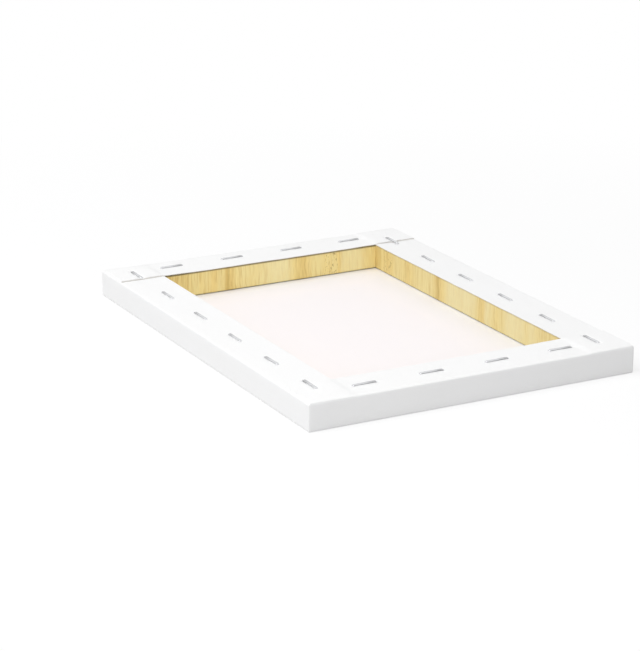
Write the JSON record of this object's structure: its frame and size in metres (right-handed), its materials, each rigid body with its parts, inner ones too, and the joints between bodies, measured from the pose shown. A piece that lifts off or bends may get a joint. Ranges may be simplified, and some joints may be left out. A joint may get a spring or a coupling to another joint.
{
  "type": "stretched canvas",
  "caption": "Unpainted primed cotton canvas stretched over a mitred pine frame, turned over and stapled on the back. Portrait shape, thin profile.",
  "frame": {"origin": "middle of the painted face, which is the bottom of the part as it lies face down", "axes": "+Z out of the open back, +Y to the top short edge, +X along the short side to the right as seen from the back"},
  "size_m": [0.2286, 0.3048, 0.0185],
  "materials": {
    "primed_cotton": "matte white primed cotton, raw and slightly warm on its inner side",
    "pine": "planed, unfinished",
    "staple_steel": "galvanised wire"
  },
  "bodies": {
    "root": {"canvas": "primed_cotton", "top_bar": "pine", "bottom_bar": "pine", "left_bar": "pine", "right_bar": "pine", "top_bar_staples": "staple_steel", "bottom_bar_staples": "staple_steel", "left_bar_staples": "staple_steel", "right_bar_staples": "staple_steel", "corner_staples": "staple_steel"}
  },
  "joints": []
}
